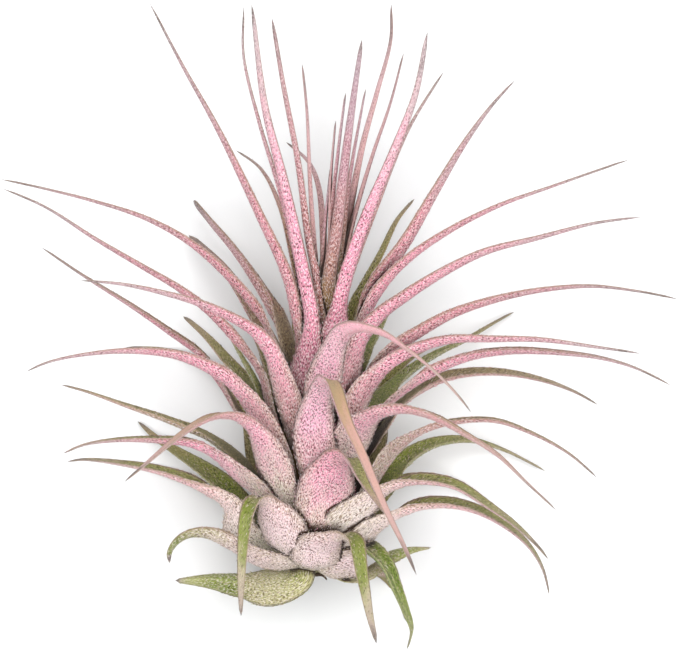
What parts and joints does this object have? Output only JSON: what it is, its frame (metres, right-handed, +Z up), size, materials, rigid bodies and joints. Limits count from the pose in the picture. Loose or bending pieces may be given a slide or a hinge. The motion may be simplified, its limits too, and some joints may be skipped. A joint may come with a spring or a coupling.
{
  "type": "sky plant",
  "caption": "Bare blushed air plant lying on its back: a rosette of narrow channelled leaves with broad sheaths round a small bulb.",
  "frame": {"origin": "on the surface it lies on, below the middle of the whole plant", "axes": "+Z up from the surface, +Y along the plant from its foot to its leaf tips, +X to its right seen from above"},
  "size_m": [0.1018, 0.0974, 0.0576],
  "materials": {
    "leaf_silver": "matte",
    "leaf_pink": "matte",
    "leaf_rose": "matte",
    "leaf_olive": "matte",
    "leaf_green": "matte",
    "heart": "matte",
    "root": "rough"
  },
  "bodies": {
    "root": {"foot_1": "leaf_green", "foot_2": "leaf_silver", "foot_3": "leaf_silver", "foot_4": "leaf_olive", "under_1": "leaf_olive", "under_2": "leaf_olive", "under_3": "leaf_olive", "front_1": "leaf_silver", "foot_5": "leaf_green", "front_2": "leaf_silver", "right_1": "leaf_silver", "left_1": "leaf_silver", "right_2": "leaf_silver", "front_3": "leaf_pink", "left_2": "leaf_green", "right_3": "leaf_green", "left_3": "leaf_silver", "under_4": "leaf_olive", "under_5": "leaf_olive", "front_4": "leaf_pink", "right_4": "leaf_pink", "right_5": "leaf_rose", "left_4": "leaf_rose", "front_5": "leaf_pink", "left_5": "leaf_pink", "right_6": "leaf_olive", "right_7": "leaf_pink", "right_8": "leaf_green", "left_6": "leaf_rose", "left_7": "leaf_olive", "under_6": "leaf_olive", "under_7": "leaf_olive", "under_8": "leaf_olive", "under_9": "leaf_olive", "left_8": "leaf_olive", "left_9": "leaf_pink", "right_9": "leaf_pink", "front_6": "leaf_pink", "left_10": "leaf_rose", "right_10": "leaf_rose", "right_11": "leaf_pink", "right_12": "leaf_green", "left_11": "leaf_olive", "left_12": "leaf_rose", "left_13": "leaf_olive", "left_14": "leaf_rose", "right_13": "leaf_pink", "right_14": "leaf_rose", "right_15": "leaf_olive", "left_15": "leaf_rose", "left_16": "leaf_pink", "right_16": "leaf_pink", "left_17": "leaf_olive", "left_18": "leaf_rose", "left_19": "leaf_rose", "right_17": "leaf_rose", "heart": "heart", "root_stub": "root"}
  },
  "joints": []
}
